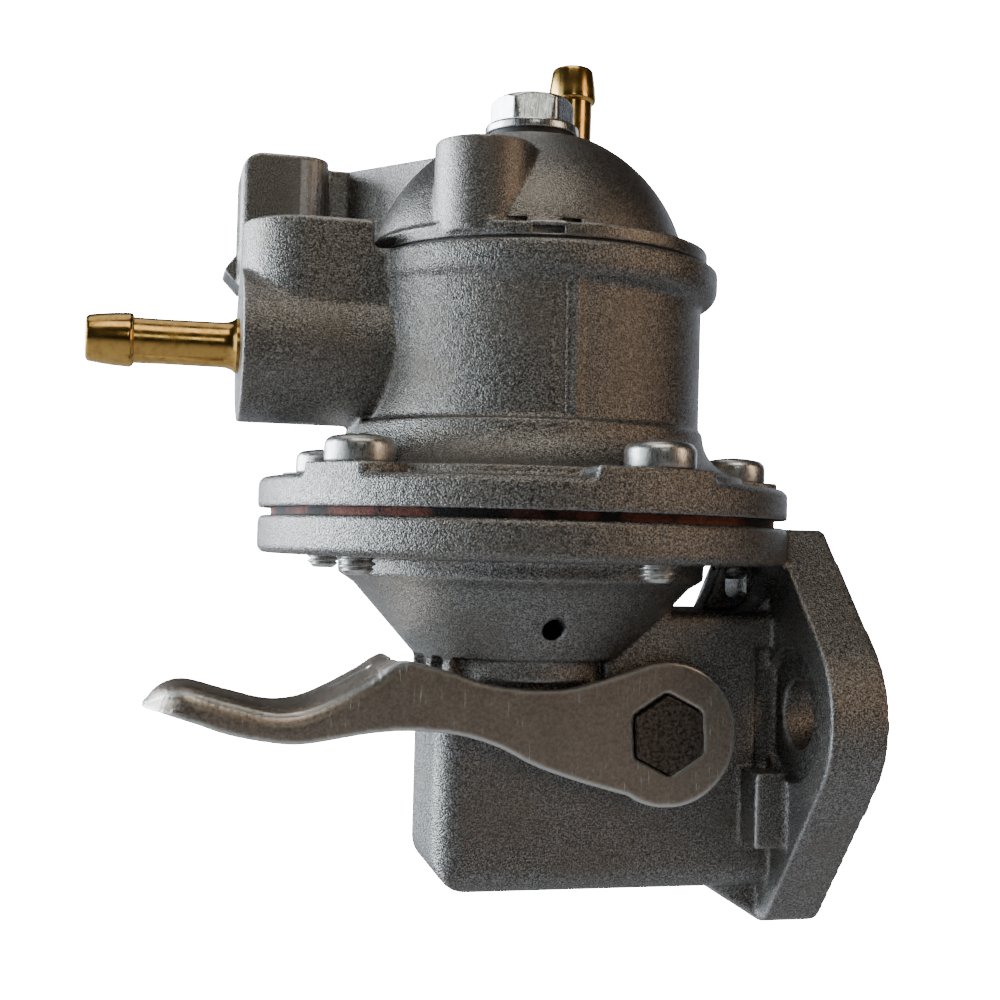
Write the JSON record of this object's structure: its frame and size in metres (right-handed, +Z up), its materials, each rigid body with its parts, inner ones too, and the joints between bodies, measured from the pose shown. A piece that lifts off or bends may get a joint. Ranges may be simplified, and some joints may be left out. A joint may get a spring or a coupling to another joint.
{
  "type": "mechanical fuel pump",
  "caption": "Diaphragm fuel pump with a cam-driven rocker arm, a hand priming lever, a domed filter bowl and brass hose barbs.",
  "frame": {"origin": "midway between the two mounting holes, on the face that meets the engine", "axes": "+X out of the mounting face, towards the engine; +Z up, along the pump's own axis; +Y away from the hand lever's plate"},
  "size_m": [0.1405, 0.092, 0.1558],
  "materials": {
    "cast_aluminium": "blasted die casting",
    "bright_steel": "bright zinc plate",
    "screw_steel": "zinc plate",
    "brass_pipe": "turned and polished",
    "lever_steel": "stamped and tumbled",
    "dark_steel": "staked and oiled",
    "diaphragm_cloth": "rubber-proofed fabric",
    "black_rubber": "matt",
    "spring_steel": "drawn wire",
    "gauze_brass": "perforated sheet",
    "valve_brass": "pressed"
  },
  "bodies": {
    "housing": {"lower_body": "cast_aluminium", "upper_body": "cast_aluminium", "dome_cover": "cast_aluminium", "cover_bolt": "bright_steel", "cover_bolt_seal": "black_rubber", "cover_gasket": "black_rubber", "filter_screen": "gauze_brass", "outlet_pipe": "brass_pipe", "inlet_pipe": "brass_pipe", "flange_screws": "screw_steel", "diaphragm": "diaphragm_cloth", "diaphragm_spring": "spring_steel", "rod_seal": "black_rubber", "seal_retainer": "bright_steel", "inlet_valve_seat": "valve_brass", "inlet_valve_spring": "spring_steel", "inlet_valve_cage": "valve_brass", "outlet_valve_seat": "valve_brass", "outlet_valve_spring": "spring_steel", "outlet_valve_cage": "valve_brass", "rocker_pin": "dark_steel", "pivot_washers": "bright_steel", "rocker_spring": "spring_steel", "shaft_seal": "black_rubber", "priming_spring": "spring_steel"},
    "rocker": {"rocker_arm": "dark_steel"},
    "diaphragm_drive": {"pull_rod": "spring_steel", "upper_plate": "bright_steel", "lower_plate": "bright_steel", "rod_nut": "bright_steel"},
    "primer": {"priming_lever": "lever_steel", "priming_shaft": "dark_steel", "shaft_clip": "spring_steel"},
    "inlet_valve": {"inlet_valve_disc": "black_rubber"},
    "outlet_valve": {"outlet_valve_disc": "black_rubber"}
  },
  "joints": [
    {"name": "rocker_pivot", "type": "hinge", "parent": "housing", "child": "rocker", "pos_m": [-0.0134, 0, -0.0165], "axis": [0, -1, 0], "range_deg": [0, 7.3], "deforming": ["rocker_spring"]},
    {"name": "diaphragm_stroke", "type": "slide", "parent": "housing", "child": "diaphragm_drive", "axis": [0, 0, -1], "range_m": [0, 0.00498], "stiffness_N_per_m": 2500, "springref_m": -0.001, "deforming": ["diaphragm_spring", "diaphragm"]},
    {"name": "priming_pivot", "type": "hinge", "parent": "housing", "child": "primer", "pos_m": [-0.0301, 0, -0.0038], "axis": [0, -1, 0], "range_deg": [0, 28], "stiffness_Nm_per_rad": 0.4, "springref_deg": -11.46},
    {"name": "inlet_lift", "type": "slide", "parent": "housing", "child": "inlet_valve", "axis": [0, 0, -1], "range_m": [0, 0.0012], "stiffness_N_per_m": 60, "springref_m": -0.001, "deforming": ["inlet_valve_spring"]},
    {"name": "outlet_lift", "type": "slide", "parent": "housing", "child": "outlet_valve", "axis": [0, 0, 1], "range_m": [0, 0.0012], "stiffness_N_per_m": 60, "springref_m": -0.001, "deforming": ["outlet_valve_spring"]}
  ],
  "couplings": [
    {"joint": "rocker_pivot", "follows": "diaphragm_stroke", "rad_per_m": 25.575}
  ]
}
